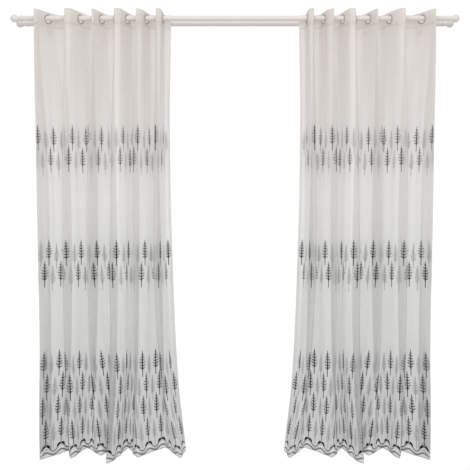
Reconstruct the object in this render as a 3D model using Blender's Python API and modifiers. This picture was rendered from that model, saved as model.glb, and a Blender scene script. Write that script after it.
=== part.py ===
"""A pair of sheer eyelet curtains on a double wall rod.

Metres, +Z up. X runs along the rods and -Y points into the room. The origin lies on the wall plane,
midway between the two wall plates and level with the rods.
"""

import math

import bmesh
import bpy
import numpy as np
from mathutils import Matrix, Vector

# Rods and finials
ROD_RADIUS = 0.015
ROD_HALF_LENGTH = 1.234
ROD_SEGMENTS = 24
FRONT_ROD_Y = -0.200
REAR_ROD_Y = -0.093
FIT_GAP = 0.0003

# Finial outline, from the rod outwards: distance from the rod end and radius
FINIAL_PROFILE = (
    (0.000, 0.0160),
    (0.008, 0.0160),
    (0.012, 0.0126),
    (0.020, 0.0132),
    (0.029, 0.0180),
    (0.038, 0.0218),
    (0.047, 0.0221),
    (0.057, 0.0178),
    (0.064, 0.0092),
)
FINIAL_LENGTH = 0.067
FINIAL_SEGMENTS = 14

# Wall plates and bracket arms
BRACKET_X = 1.120
PLATE_SIZE = (0.028, 0.004, 0.074)
PLATE_CENTRE_Z = -0.015
ARM_WIDTH = 0.012
ARM_TOP_Z = -0.0200
ARM_BOTTOM_Z = -0.0280
CRADLE_TOP_Z = -0.004
CRADLE_RADIUS = 0.0155
CRADLE_WALL = 0.004
CRADLE_STEPS = 10

# Cloth, cut flat and then gathered on the rod
CUT_WIDTH = 2.000
HEADING_TOP = 0.035
HEADING_BOTTOM = -0.046
HEM_Z = -2.505
PANEL_THICKNESS = 0.0012
HEADING_THICKNESS = 0.0018

# Eyelets: their rings hang on the rod, a little below its middle
EYELET_INNER_RADIUS = 0.0218
EYELET_LIP_RADIUS = 0.0234
EYELET_OUTER_RADIUS = 0.0280
EYELET_GROOVE_RADIUS = 0.0242
EYELET_HALF_THICKNESS = 0.0027
EYELET_RIM_HALF_THICKNESS = 0.0021
EYELET_DROP = 0.0060
EYELET_SEGMENTS = 16
EYELET_HOLE_RADIUS = 0.0266
EYELET_HOLE_DEPTH = 0.020

# Distances below the rod at which the fold table gives the fold lines
LEVELS = np.array((-HEADING_BOTTOM, 0.65, 1.40, 2.10, -HEM_Z))
DEPTH_LEVELS = np.array((-HEADING_BOTTOM, 1.40, -HEM_Z))

# Fold lines of the left panel, from its outer side edge to its inner one. The x columns are places
# along the rod at LEVELS, the y columns are depths behind the front rod (in front of it where
# negative) at DEPTH_LEVELS, and dip is how far the hem hangs below its level there.
X_COLUMNS = ("x_head", "x_high", "x_mid", "x_low", "x_hem")
Y_COLUMNS = ("y_head", "y_mid", "y_hem")
FOLD_COLUMNS = (*X_COLUMNS, *Y_COLUMNS, "dip")
FOLDS = {
    "outer edge": (-1.150, -1.105, -1.085, -1.070, -1.062, 0.045, 0.050, 0.020, 0.000),
    "front 1": (-1.141, -1.133, -1.122, -1.104, -1.094, -0.070, -0.062, -0.140, 0.012),
    "back 1": (-1.045, -1.012, -0.998, -1.000, -1.000, 0.047, 0.050, -0.024, 0.007),
    "back 1 right": (-0.990, -0.972, -0.957, -0.962, -0.966, 0.047, 0.058, 0.010, 0.006),
    "front 2": (-0.970, -0.985, -0.985, -0.965, -0.932, -0.070, -0.065, -0.115, 0.012),
    "front 2 right": (-0.934, -0.945, -0.940, -0.925, -0.905, -0.070, -0.055, -0.095, 0.002),
    "back 2": (-0.864, -0.856, -0.842, -0.852, -0.872, 0.055, 0.062, 0.050, 0.000),
    "back 2 right": (-0.829, -0.820, -0.806, -0.818, -0.838, 0.055, 0.060, 0.022, 0.001),
    "front 3": (-0.812, -0.838, -0.845, -0.815, -0.765, -0.070, -0.058, -0.075, 0.006),
    "back 3": (-0.748, -0.742, -0.726, -0.728, -0.738, 0.046, 0.046, -0.010, 0.002),
    "back 3 right": (-0.712, -0.704, -0.688, -0.694, -0.720, 0.052, 0.054, 0.022, 0.000),
    "front 4": (-0.686, -0.705, -0.715, -0.705, -0.716, -0.070, -0.065, -0.185, 0.016),
    "front 4 right": (-0.652, -0.655, -0.650, -0.648, -0.680, -0.070, -0.065, -0.160, 0.012),
    "back 4": (-0.605, -0.603, -0.594, -0.606, -0.628, 0.047, 0.056, 0.048, 0.000),
    "back 4 right": (-0.573, -0.568, -0.560, -0.574, -0.606, 0.052, 0.060, 0.016, 0.001),
    "front 5": (-0.563, -0.582, -0.585, -0.572, -0.552, -0.070, -0.062, -0.115, 0.006),
    "front 5 right": (-0.531, -0.542, -0.545, -0.532, -0.515, -0.048, -0.045, -0.066, 0.004),
    "back 5": (-0.495, -0.486, -0.466, -0.450, -0.436, 0.045, 0.050, 0.042, 0.001),
    "back 5 right": (-0.456, -0.448, -0.430, -0.414, -0.404, 0.045, 0.058, 0.062, 0.000),
    "front 6": (-0.449, -0.460, -0.462, -0.420, -0.335, -0.070, -0.058, -0.085, 0.003),
    "front 6 right": (-0.424, -0.430, -0.432, -0.388, -0.306, -0.068, -0.060, -0.120, 0.006),
    "back 6": (-0.412, -0.412, -0.402, -0.358, -0.292, 0.047, 0.050, -0.040, 0.000),
    "inner edge": (-0.376, -0.383, -0.366, -0.330, -0.284, 0.052, 0.045, 0.010, 0.000),
}

# How much of each flank the rounding of its folds takes: crisp at the heading, soft below it
ROUNDNESS_LEVELS = (0.00, 0.10, 0.60, 2.00, 2.505)
ROUNDNESS = (0.34, 0.36, 0.80, 0.86, 0.74)

# Grid of the cloth: columns as offsets from each fold line, rows as distances below the rod
COLUMN_OFFSETS = (-0.5, -0.23, 0.0, 0.23)
PANEL_ROWS = (0.10, 0.21, 0.38, 0.62, 0.90, 1.20, 1.50, 1.80, 2.10, 2.30)

# Colours, roughness and metallic value
CREAM_PAINT = ((0.82, 0.78, 0.74), 0.45, 0.0)
VOILE = ((0.80, 0.79, 0.77), 0.90, 0.0)
HEADING_CLOTH = ((0.84, 0.80, 0.75), 0.90, 0.0)
TAUPE_METAL = ((0.36, 0.31, 0.26), 0.38, 0.8)


def clear_scene():
    """Removes every object of the open scene."""
    for old in list(bpy.data.objects):
        bpy.data.objects.remove(old, do_unlink=True)


def collection(name):
    """A new collection, linked to the scene."""
    made = bpy.data.collections.new(name)
    bpy.context.scene.collection.children.link(made)
    return made


def material(name, colour, roughness, metallic):
    """A Principled material for one object."""
    made = bpy.data.materials.new(name)
    made.use_nodes = True
    shader = made.node_tree.nodes["Principled BSDF"]
    shader.inputs["Base Color"].default_value = (*colour, 1.0)
    shader.inputs["Roughness"].default_value = roughness
    shader.inputs["Metallic"].default_value = metallic
    return made


def new_object(name, data, group, finish=None):
    """Links an object for `data`, with its own material when a finish is given."""
    made = bpy.data.objects.new(name, data)
    group.objects.link(made)
    if finish:
        data.materials.append(material(name, *finish))
    return made


def mesh_from(name, bm):
    """Turns a bmesh into a mesh of that name."""
    mesh = bpy.data.meshes.new(name)
    bm.to_mesh(mesh)
    bm.free()
    return mesh


def round_off(mesh, sharp_angle=35.0):
    """Shades a round piece smooth, and keeps its real edges."""
    mesh.shade_smooth()
    mesh.set_sharp_from_angle(angle=math.radians(sharp_angle))


def turned(name, profile, segments, group, finish):
    """A turned piece: a closed outline of (radius, height) points, spun about its own Z."""
    bm = bmesh.new()
    verts = [bm.verts.new((radius, 0.0, height)) for radius, height in profile]
    for first, second in zip(verts, verts[1:]):
        bm.edges.new((first, second))
    if profile[0][0] > 0.0:
        bm.edges.new((verts[-1], verts[0]))
    piece = new_object(name, mesh_from(name, bm), group, finish)
    spin = piece.modifiers.new("Spin", "SCREW")
    spin.steps = segments
    spin.render_steps = segments
    spin.use_merge_vertices = True
    spin.merge_threshold = 0.00005
    spin.use_smooth_shade = True
    return piece


def through_levels(levels, values, drop):
    """Smooth value of each fold line at `drop` below the rod, plumb at the first level."""
    slopes = np.zeros_like(values)
    slopes[:, 1:-1] = (values[:, 2:] - values[:, :-2]) / (levels[2:] - levels[:-2])
    slopes[:, -1] = (values[:, -1] - values[:, -2]) / (levels[-1] - levels[-2])
    drop = min(max(drop, levels[0]), levels[-1])
    upper = min(int(np.searchsorted(levels, drop, side="right")) - 1, len(levels) - 2)
    span = levels[upper + 1] - levels[upper]
    t = (drop - levels[upper]) / span
    start, end = values[:, upper], values[:, upper + 1]
    bend_out = (t**3 - 2 * t**2 + t) * span * slopes[:, upper]
    bend_in = (t**3 - t**2) * span * slopes[:, upper + 1]
    return (2 * t**3 - 3 * t**2 + 1) * start + bend_out + (3 * t**2 - 2 * t**3) * end + bend_in


def rounded_zigzag(corners, roundness, u):
    """Points of the zigzag with rounded corners, where u counts the fold lines from 0."""
    last = len(corners) - 1
    nearest = np.rint(u).astype(int)
    offset = u - nearest
    before = corners[np.maximum(nearest - 1, 0)]
    corner = corners[nearest]
    after = corners[np.minimum(nearest + 1, last)]
    towards = np.where(offset[:, None] > 0, after, before)
    straight = corner + (towards - corner) * np.abs(offset)[:, None]
    curve_start = corner + (before - corner) * roundness / 2
    curve_end = corner + (after - corner) * roundness / 2
    t = (offset / roundness + 0.5)[:, None]
    curve = (1 - t) ** 2 * curve_start + 2 * t * (1 - t) * corner + t**2 * curve_end
    on_curve = (np.abs(offset) < roundness / 2) & (nearest > 0) & (nearest < last)
    return np.where(on_curve[:, None], curve, straight)


def corners_for(fold_points, roundness):
    """Corners whose rounded zigzag passes through the fold points of the table."""
    count = len(fold_points)
    matrix = np.eye(count)
    for row in range(1, count - 1):
        matrix[row, row - 1 : row + 2] = (roundness / 8, 1 - roundness / 4, roundness / 8)
    return np.linalg.solve(matrix, fold_points)


class Drape:
    """Folds of one cloth: its section at any height, always as long as the cloth was cut wide."""

    def __init__(self):
        columns = dict(zip(FOLD_COLUMNS, zip(*FOLDS.values())))
        self.x = np.column_stack([columns[name] for name in X_COLUMNS])
        self.y = np.column_stack([columns[name] for name in Y_COLUMNS])
        self.dip = np.array(columns["dip"])
        self.last = len(FOLDS) - 1

    def corners(self, drop):
        """Corner points of the section, with the fold depth that uses up the cut width."""
        roundness = float(np.interp(drop, ROUNDNESS_LEVELS, ROUNDNESS))
        x = through_levels(LEVELS, self.x, drop)
        y = through_levels(DEPTH_LEVELS, self.y, drop)
        fine = np.linspace(0, self.last, self.last * 24 + 1)
        shallow, deep = 0.3, 3.0
        for _ in range(40):
            scale = (shallow + deep) / 2
            corners = corners_for(np.column_stack((x, y * scale)), roundness)
            steps = np.diff(rounded_zigzag(corners, roundness, fine), axis=0)
            if np.hypot(steps[:, 0], steps[:, 1]).sum() < CUT_WIDTH:
                shallow = scale
            else:
                deep = scale
        return corners, roundness

    def section(self, drop, u):
        """Points of the cloth at fold coordinates u, at `drop` below the rod."""
        corners, roundness = self.corners(drop)
        flat = rounded_zigzag(corners, roundness, u)
        hang = np.interp(u, np.arange(self.last + 1), self.dip)
        low = max(0.0, (drop - LEVELS[-2]) / (LEVELS[-1] - LEVELS[-2])) ** 2
        z = -drop - hang * low
        return np.column_stack((flat[:, 0], FRONT_ROD_Y + flat[:, 1], z))

    def crossings(self):
        """Where each flank of the heading crosses the front rod: its x and its direction."""
        corners, _ = self.corners(-HEADING_BOTTOM)
        found = []
        for start, end in zip(corners, corners[1:]):
            if start[1] * end[1] < 0:
                share = start[1] / (start[1] - end[1])
                x = start[0] + (end[0] - start[0]) * share
                found.append((x, math.atan2(end[1] - start[1], end[0] - start[0])))
        return found


def cloth_columns(last):
    """Fold coordinates of the grid's columns."""
    inner = [fold + offset for fold in range(1, last) for offset in COLUMN_OFFSETS]
    return np.array([0.0, *inner, last - 0.5, float(last)])


def cloth_sheet(name, drape, drops, side, thickness, group, finish):
    """A gathered sheet: a flat grid moved onto the folds, then given its thickness."""
    columns = cloth_columns(drape.last)
    bm = bmesh.new()
    bmesh.ops.create_grid(bm, x_segments=len(columns) - 1, y_segments=len(drops) - 1, size=0.5)
    rows = [drape.section(drop, columns) for drop in drops]
    for vert in bm.verts:
        column = round((vert.co.x + 0.5) * (len(columns) - 1))
        row = round((0.5 - vert.co.y) * (len(drops) - 1))
        x, y, z = rows[row][column]
        vert.co = (-side * x, y, z)
    mesh = mesh_from(name, bm)
    round_off(mesh)
    sheet = new_object(name, mesh, group, finish)
    body = sheet.modifiers.new("Thickness", "SOLIDIFY")
    body.thickness = thickness
    body.offset = 0.0
    body.use_even_offset = True
    return sheet


def eyelet_places(drape, side):
    """Centre and turn about Z of each eyelet, numbered from the panel's outer edge."""
    places = []
    for x, turn in drape.crossings():
        centre = Vector((-side * x, FRONT_ROD_Y, -EYELET_DROP))
        places.append((centre, -side * turn))
    return places


def make_eyelets(side_name, places, group):
    """Press-on rings with a groove that the heading sits in."""
    profile = (
        (EYELET_INNER_RADIUS, 0.0),
        (EYELET_LIP_RADIUS, -EYELET_HALF_THICKNESS),
        (EYELET_OUTER_RADIUS, -EYELET_RIM_HALF_THICKNESS),
        (EYELET_GROOVE_RADIUS, 0.0),
        (EYELET_OUTER_RADIUS, EYELET_RIM_HALF_THICKNESS),
        (EYELET_LIP_RADIUS, EYELET_HALF_THICKNESS),
    )
    for number, (centre, turn) in enumerate(places, start=1):
        name = f"eyelet_{side_name}_{number:02d}"
        ring = turned(name, tuple(reversed(profile)), EYELET_SEGMENTS, group, TAUPE_METAL)
        ring.location = centre
        ring.rotation_euler = (math.pi / 2, 0.0, turn)


def cut_eyelet_holes(heading, places, cutters):
    """Round holes through the flat flanks of a heading."""
    bm = bmesh.new()
    for centre, turn in places:
        place = Matrix.Translation(centre) @ Matrix.Rotation(turn, 4, "Z")
        place = place @ Matrix.Rotation(math.pi / 2, 4, "X")
        bmesh.ops.create_cone(
            bm,
            cap_ends=True,
            segments=EYELET_SEGMENTS,
            radius1=EYELET_HOLE_RADIUS,
            radius2=EYELET_HOLE_RADIUS,
            depth=EYELET_HOLE_DEPTH,
            matrix=place,
        )
    cutter = new_object(f"{heading.name}_holes", mesh_from(f"{heading.name}_holes", bm), cutters)
    cutter.hide_render = True
    cutter.display_type = "WIRE"
    cut = heading.modifiers.new("Eyelet holes", "BOOLEAN")
    cut.operation = "DIFFERENCE"
    cut.solver = "EXACT"
    cut.object = cutter


def make_curtain(side_name, side, drape, group, cutters):
    """One curtain: heading, panel and eyelets. side is -1 on the left and 1 on the right."""
    heading_drops = (-HEADING_TOP, -HEADING_BOTTOM)
    heading = cloth_sheet(
        f"heading_{side_name}", drape, heading_drops, side, HEADING_THICKNESS, group, HEADING_CLOTH
    )
    places = eyelet_places(drape, side)
    cut_eyelet_holes(heading, places, cutters)
    panel_drops = (-HEADING_BOTTOM + FIT_GAP, *PANEL_ROWS, -HEM_Z)
    cloth_sheet(f"panel_{side_name}", drape, panel_drops, side, PANEL_THICKNESS, group, VOILE)
    make_eyelets(side_name, places, group)


def make_rod(name, y, group):
    """A straight round rod along X."""
    bm = bmesh.new()
    bmesh.ops.create_cone(
        bm,
        cap_ends=True,
        segments=ROD_SEGMENTS,
        radius1=ROD_RADIUS,
        radius2=ROD_RADIUS,
        depth=2 * ROD_HALF_LENGTH,
    )
    mesh = mesh_from(name, bm)
    round_off(mesh)
    rod = new_object(name, mesh, group, CREAM_PAINT)
    rod.location = (0.0, y, 0.0)
    rod.rotation_euler = (0.0, math.pi / 2, 0.0)


def make_finial(name, side, y, group):
    """A ball finial on a short collar, its axis along the rod."""
    outline = [(0.0, FINIAL_LENGTH)]
    outline += [(radius, distance) for distance, radius in reversed(FINIAL_PROFILE)]
    outline += [(0.0, 0.0)]
    finial = turned(name, outline, FINIAL_SEGMENTS, group, CREAM_PAINT)
    finial.location = (side * (ROD_HALF_LENGTH + FIT_GAP), y, 0.0)
    finial.rotation_euler = (0.0, side * math.pi / 2, 0.0)


def cradle_outline(rod_y):
    """Top outline of one cradle, from the wall side to the room side: (y, z) points."""
    lip = math.asin(-CRADLE_TOP_Z / CRADLE_RADIUS)
    outer = CRADLE_RADIUS + CRADLE_WALL
    points = [(rod_y + outer, ARM_TOP_Z), (rod_y + outer, CRADLE_TOP_Z)]
    for step in range(CRADLE_STEPS + 1):
        angle = -lip - (math.pi - 2 * lip) * step / CRADLE_STEPS
        points.append((rod_y + CRADLE_RADIUS * math.cos(angle), CRADLE_RADIUS * math.sin(angle)))
    points += [(rod_y - outer, CRADLE_TOP_Z)]
    return points


def make_arm(name, x, group):
    """A bracket arm: one flat outline with a cradle for each rod, as thick as the arm is wide."""
    wall_end = -PLATE_SIZE[1] - FIT_GAP
    rear = cradle_outline(REAR_ROD_Y)
    front = cradle_outline(FRONT_ROD_Y)
    rear_end = (rear[-1][0], ARM_TOP_Z)
    front_end = (front[-1][0], ARM_BOTTOM_Z)
    outline = [(wall_end, ARM_BOTTOM_Z), (wall_end, ARM_TOP_Z), *rear, rear_end, *front, front_end]
    curve = bpy.data.curves.new(name, "CURVE")
    curve.dimensions = "2D"
    curve.fill_mode = "BOTH"
    curve.extrude = ARM_WIDTH / 2
    spline = curve.splines.new("POLY")
    spline.points.add(len(outline) - 1)
    spline.use_cyclic_u = True
    for point, (y, z) in zip(spline.points, outline):
        point.co = (y, z, 0.0, 1.0)
    arm = new_object(name, curve, group, CREAM_PAINT)
    arm.location = (x, 0.0, 0.0)
    arm.rotation_euler = (math.pi / 2, 0.0, math.pi / 2)


def make_wall_plate(name, x, group):
    """The flat plate that is screwed to the wall, its back on the wall plane."""
    bm = bmesh.new()
    bmesh.ops.create_cube(bm, size=1.0, matrix=Matrix.Diagonal((*PLATE_SIZE, 1.0)))
    plate = new_object(name, mesh_from(name, bm), group, CREAM_PAINT)
    plate.location = (x, -PLATE_SIZE[1] / 2, PLATE_CENTRE_Z)
    edge = plate.modifiers.new("Edges", "BEVEL")
    edge.width = 0.001
    edge.segments = 1


def main():
    """Builds both curtains and the rod set."""
    clear_scene()
    parts = collection("sheer_curtain_pair")
    cutters = collection("cutters")
    drape = Drape()
    for rod_name, y in (("front", FRONT_ROD_Y), ("rear", REAR_ROD_Y)):
        make_rod(f"rod_{rod_name}", y, parts)
        for side_name, side in (("left", -1), ("right", 1)):
            make_finial(f"finial_{rod_name}_{side_name}", side, y, parts)
    for side_name, side in (("left", -1), ("right", 1)):
        make_arm(f"arm_{side_name}", side * BRACKET_X, parts)
        make_wall_plate(f"wall_plate_{side_name}", side * BRACKET_X, parts)
        make_curtain(side_name, side, drape, parts, cutters)


main()
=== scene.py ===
"""Looks of a pair of sheer eyelet curtains on a double wall rod.

Metres, +Z up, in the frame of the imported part. X runs along the rods and -Y points into the room. A
place on the flat cut cloth is (s, drop): s runs across the cut from its outer side edge, and drop is
the distance below the rod.
"""

import math

import bmesh
import bpy
import numpy as np
from mathutils import Matrix, Vector


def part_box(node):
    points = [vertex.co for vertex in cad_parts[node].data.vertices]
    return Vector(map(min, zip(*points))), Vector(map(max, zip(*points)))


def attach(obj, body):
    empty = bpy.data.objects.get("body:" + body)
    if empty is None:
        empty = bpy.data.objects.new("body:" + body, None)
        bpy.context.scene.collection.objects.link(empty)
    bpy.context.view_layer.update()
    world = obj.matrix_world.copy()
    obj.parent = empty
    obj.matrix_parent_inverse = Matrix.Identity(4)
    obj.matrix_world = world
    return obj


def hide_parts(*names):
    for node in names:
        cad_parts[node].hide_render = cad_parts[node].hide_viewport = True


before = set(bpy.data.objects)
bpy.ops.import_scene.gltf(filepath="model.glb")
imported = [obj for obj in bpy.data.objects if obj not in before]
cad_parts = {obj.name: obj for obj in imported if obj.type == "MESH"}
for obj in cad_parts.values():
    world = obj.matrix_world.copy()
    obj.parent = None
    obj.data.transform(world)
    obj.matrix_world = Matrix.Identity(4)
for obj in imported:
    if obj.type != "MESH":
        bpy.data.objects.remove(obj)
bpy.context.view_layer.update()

SIDES = (("left", -1), ("right", 1))

# Camera, level with the middle of the curtains
CAMERA_PLACE = (0.0, -4.2, -1.198)
CAMERA_LENS = 52.89
CAMERA_SENSOR = 36.0
CAMERA_SHIFT_Y = -0.0209

# Meshes: edges sharper than these angles stay sharp, and points closer than this distance are joined
HEADING_CREASE = math.radians(40)
TURNED_CREASE = math.radians(50)
WELD_DISTANCE = 0.00001

# Front rod, read from the frame
rod_low, rod_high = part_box("rod_front")
FRONT_ROD_Y = (rod_low[1] + rod_high[1]) / 2

# Finial outline: distance from the rod end and radius
FINIAL_COLLAR = ((0.0000, 0.0156), (0.0006, 0.0160), (0.0074, 0.0160), (0.0084, 0.0154))
FINIAL_KNOB = (
    (0.0098, 0.0132),
    (0.0120, 0.0126),
    (0.0200, 0.0132),
    (0.0290, 0.0180),
    (0.0380, 0.0218),
    (0.0470, 0.0221),
    (0.0570, 0.0178),
    (0.0640, 0.0092),
    (0.0670, 0.0000),
)
FINIAL_SEGMENTS = 48
KNOB_STEPS = 4

# Screw heads of the wall plates: distances above the plate's middle, and outline as radius and height
SCREW_OFFSETS = (0.026, -0.027)
SCREW_PROFILE = (
    (0.0000, 0.0004),
    (0.0011, 0.0004),
    (0.0011, 0.0014),
    (0.0022, 0.0013),
    (0.0031, 0.0008),
    (0.0034, 0.0000),
)
SCREW_SEGMENTS = 24

# Cloth, cut flat and then gathered on the rod
CUT_WIDTH = 2.000
HEADING_TOP_DROP = -0.035
HEADING_BOTTOM_DROP = 0.046
HEM_DROP = 2.505
HEADING_THICKNESS = 0.0018
PANEL_OVERLAP = 0.004

# Fold lines of the left panel, as in the part's source: x at LEVELS and depth behind the front rod at
# DEPTH_LEVELS, and how far the hem dips
LEVELS = np.array((HEADING_BOTTOM_DROP, 0.65, 1.40, 2.10, HEM_DROP))
DEPTH_LEVELS = np.array((HEADING_BOTTOM_DROP, 1.40, HEM_DROP))
X_COLUMNS = ("x_head", "x_high", "x_mid", "x_low", "x_hem")
Y_COLUMNS = ("y_head", "y_mid", "y_hem")
FOLD_COLUMNS = (*X_COLUMNS, *Y_COLUMNS, "dip")
FOLDS = {
    "outer edge": (-1.150, -1.105, -1.085, -1.070, -1.062, 0.045, 0.050, 0.020, 0.000),
    "front 1": (-1.141, -1.133, -1.122, -1.104, -1.094, -0.070, -0.062, -0.140, 0.012),
    "back 1": (-1.045, -1.012, -0.998, -1.000, -1.000, 0.047, 0.050, -0.024, 0.007),
    "back 1 right": (-0.990, -0.972, -0.957, -0.962, -0.966, 0.047, 0.058, 0.010, 0.006),
    "front 2": (-0.970, -0.985, -0.985, -0.965, -0.932, -0.070, -0.065, -0.115, 0.012),
    "front 2 right": (-0.934, -0.945, -0.940, -0.925, -0.905, -0.070, -0.055, -0.095, 0.002),
    "back 2": (-0.864, -0.856, -0.842, -0.852, -0.872, 0.055, 0.062, 0.050, 0.000),
    "back 2 right": (-0.829, -0.820, -0.806, -0.818, -0.838, 0.055, 0.060, 0.022, 0.001),
    "front 3": (-0.812, -0.838, -0.845, -0.815, -0.765, -0.070, -0.058, -0.075, 0.006),
    "back 3": (-0.748, -0.742, -0.726, -0.728, -0.738, 0.046, 0.046, -0.010, 0.002),
    "back 3 right": (-0.712, -0.704, -0.688, -0.694, -0.720, 0.052, 0.054, 0.022, 0.000),
    "front 4": (-0.686, -0.705, -0.715, -0.705, -0.716, -0.070, -0.065, -0.185, 0.016),
    "front 4 right": (-0.652, -0.655, -0.650, -0.648, -0.680, -0.070, -0.065, -0.160, 0.012),
    "back 4": (-0.605, -0.603, -0.594, -0.606, -0.628, 0.047, 0.056, 0.048, 0.000),
    "back 4 right": (-0.573, -0.568, -0.560, -0.574, -0.606, 0.052, 0.060, 0.016, 0.001),
    "front 5": (-0.563, -0.582, -0.585, -0.572, -0.552, -0.070, -0.062, -0.115, 0.006),
    "front 5 right": (-0.531, -0.542, -0.545, -0.532, -0.515, -0.048, -0.045, -0.066, 0.004),
    "back 5": (-0.495, -0.486, -0.466, -0.450, -0.436, 0.045, 0.050, 0.042, 0.001),
    "back 5 right": (-0.456, -0.448, -0.430, -0.414, -0.404, 0.045, 0.058, 0.062, 0.000),
    "front 6": (-0.449, -0.460, -0.462, -0.420, -0.335, -0.070, -0.058, -0.085, 0.003),
    "front 6 right": (-0.424, -0.430, -0.432, -0.388, -0.306, -0.068, -0.060, -0.120, 0.006),
    "back 6": (-0.412, -0.412, -0.402, -0.358, -0.292, 0.047, 0.050, -0.040, 0.000),
    "inner edge": (-0.376, -0.383, -0.366, -0.330, -0.284, 0.052, 0.045, 0.010, 0.000),
}
ROUNDNESS_LEVELS = (0.00, 0.10, 0.60, 2.00, 2.505)
ROUNDNESS = (0.34, 0.36, 0.80, 0.86, 0.74)

# Steps between two fold lines, to measure a section's length and to lay it out, and the search for the
# factor on the fold depths that uses up the cut width
LENGTH_STEPS = 24
FINE_STEPS = 40
DEPTH_FACTORS = (0.3, 3.0)
DEPTH_SEARCH_STEPS = 40

# Grid of the cloth
CLOTH_COLUMNS = 360
HEADING_ROWS = 8
PANEL_ROWS = 212

# Small ripples between the main folds: wavelength across the cloth, height, and sway to the side in
# radians; the drops between which they grow, and the rates at which they sway and swell, in radians for
# each metre
RIPPLES = ((0.118, 0.0026, 1.8), (0.071, 0.0016, -2.8), (0.043, 0.0009, 4.2))
RIPPLE_START = 0.06
RIPPLE_FULL = 0.70
RIPPLE_EASE = 1.5
RIPPLE_SEED = 11
SWAY_RATE = 1.3
SWELL = 0.4
SWELL_RATE_ACROSS = 5.1
SWELL_RATE_DOWN = 1.1

# Eyelet rings: outline of one half as radius and height above the cloth's middle
RING_DROP = 0.0060
RING_SEGMENTS = 56
RING_HOLE_RADIUS = 0.0256
RING_HOLE_DEPTH = 0.020
RING_HALF_PROFILE = (
    (0.0242, 0.0010),
    (0.0274, 0.0011),
    (0.0279, 0.0013),
    (0.0280, 0.0016),
    (0.0277, 0.0020),
    (0.0268, 0.0023),
    (0.0254, 0.0026),
    (0.0242, 0.0027),
    (0.0234, 0.0026),
    (0.0226, 0.0022),
    (0.0221, 0.0015),
    (0.0218, 0.0005),
)

# Embroidered trees, dark and pale by turns: for each row the drop of the feet and where the first dark
# tree stands, as a share of the pitch, and for each band the weight of its thread. The pale ones stand
# between the dark ones, a little lower, and are narrower
TREE_COLUMNS = 20
TREE_PITCH = CUT_WIDTH / TREE_COLUMNS
BANDS = {
    "upper": ((0.772, 0.22), (0.894, 0.97)),
    "middle": ((1.430, 0.72), (1.556, 0.47)),
    "lower": ((2.066, 0.47), (2.193, 0.72), (2.320, 0.47), (2.446, 0.72)),
}
BAND_WEIGHTS = {"upper": 0.72, "middle": 0.92, "lower": 1.02}
PALE_SHIFT = 0.5
PALE_DROP = 0.020
PALE_SPREAD = 0.75
TREE_VARIANTS = 5
TREE_SEED = 7
STITCH_RAISE = 0.0005

# Crown of a tree: at its foot it has the share CROWN_FOOT of its fullest half width, it is fullest at
# the share CROWN_WIDEST of its height, and from there it tapers towards nothing at CROWN_TIP
TREE_HEIGHT = 0.148
CROWN_BASE = 0.042
CROWN_HEIGHT = TREE_HEIGHT - CROWN_BASE
CROWN_HALF_WIDTH = 0.022
CROWN_FOOT = 0.50
CROWN_WIDEST = 0.34
CROWN_TIP = 1.06
CROWN_TAPER = 1.2

# Trunk: height above the foot, and width
TRUNK = (
    (0.000, 0.0048),
    (0.020, 0.0046),
    (CROWN_BASE - 0.005, 0.0052),
    (CROWN_BASE + 0.004, 0.0088),
    (CROWN_BASE + 0.014, 0.0068),
    (CROWN_BASE + CROWN_HEIGHT * 0.60, 0.0054),
    (TREE_HEIGHT, 0.0028),
)

# Branches: how many pairs, where they start and end as shares of the crown's height, how they rise and
# bend towards their ends, their widths at shares of their length, and how chance changes them
DARK_PAIRS = 6
PALE_PAIRS = 9
LOWEST_BRANCH = 0.04
BRANCH_RANGE = 0.90
BRANCH_TIP_SHARE = 0.08
BRANCH_RISE = 0.002
BRANCH_SLOPE = 0.34
BRANCH_BEND = 0.4
BRANCH_SHARES = (0.0, 0.35, 0.7, 1.0)
BRANCH_WIDTHS = (0.0052, 0.0048, 0.0042, 0.0028)
BRANCH_RAISE = 0.8
BRANCH_CHANGES = (0.78, 1.14)
BRANCH_SHIFT = 0.0016

# Loose stitches over a dark crown: the share of its width that they fill, in strips side by side
CROWN_FILL = 0.85
CROWN_STRIPS = 5
CROWN_POINTS = 7
CROWN_RAISE = 0.3

# Border over the hem: dark hills whose tops are under the dark trees of the last row, a thick stitch on
# either side of each top, a white satin band, and a grey line
HILL_PHASE = BANDS["lower"][-1][1]
HILL_TOP_DROP = 2.446
HILL_HEIGHT = 0.033
GREY_TOP_DROP = 2.479
GREY_HEIGHT = 0.018
HILL_LINE_WIDTH = 0.0044
GREY_LINE_WIDTH = 0.0092
SATIN_WIDTH = 0.0090
TUFT_RISE = 0.0045
TUFT_SPANS = ((-0.028, -0.005), (0.005, 0.027))
TUFT_WIDTHS = (0.0060, 0.0140, 0.0170, 0.0150, 0.0080)
BORDER_MARGIN = 0.004
BORDER_STEPS = 20

# Weave of the cloth: pitch of its threads, stretch of the noises that make streaks along warp and weft
# and soft stripes, their shares, the range and the mean of their values. The soft stripes are partly
# uneven weave and partly painted shade of small folds
WEAVE_PITCH = 0.0011
WARP_STRETCH = (230.0, 5.0, 1.0)
WEFT_STRETCH = (6.0, 260.0, 1.0)
STRIPE_STRETCH = (30.0, 0.8, 1.0)
WEAVE_SHARE = 0.4
WEFT_SHARE = 0.3
STRIPE_SHARE = 0.9
STRIPE_RANGE = (0.32, 0.68)
UNEVEN_MEAN = 1.10

# Hems, which hide more than the single cloth: the top one reaches below the heading and fades out. The
# cloth also hides more towards its top
SIDE_HEM_WIDTH = 0.020
LOW_HEM_WIDTH = 0.030
HEM_FADE = 0.002
HEM_COVER = 0.16
TOP_HEM_DROP = 0.085
TOP_HEM_FADE = 0.070
TOP_HEM_COVER = 0.06
UPPER_DROPS = (0.25, 1.00)
UPPER_COVER = 0.12
MOST_COVER = 0.97

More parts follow.
